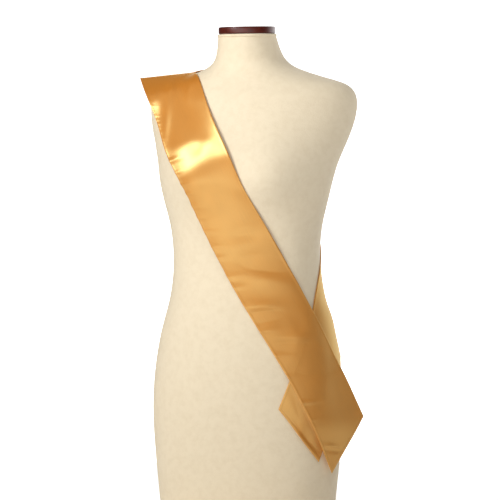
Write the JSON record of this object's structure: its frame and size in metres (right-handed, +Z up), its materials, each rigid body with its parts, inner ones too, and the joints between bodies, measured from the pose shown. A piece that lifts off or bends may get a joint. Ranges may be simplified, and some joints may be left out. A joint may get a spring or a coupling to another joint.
{
  "type": "pageant sash on a dress form",
  "caption": "Satin pageant sash worn from the right shoulder to the left hip of a limbless dress form, its front and back lengths crossing and ending in slanted points.",
  "frame": {"origin": "centre of the whole part's box, on the flat foot of the dress form", "axes": "+Z up, -Y the way the form's front faces, +X the form's left side"},
  "size_m": [0.4198, 0.2398, 0.8688],
  "materials": {
    "gold_satin": "satin",
    "jersey_cover": "matte",
    "mahogany": "satin"
  },
  "bodies": {
    "root": {"dress_form": "jersey_cover", "neck_cap": "mahogany", "sash_front": "gold_satin", "sash_back": "gold_satin"}
  },
  "joints": []
}
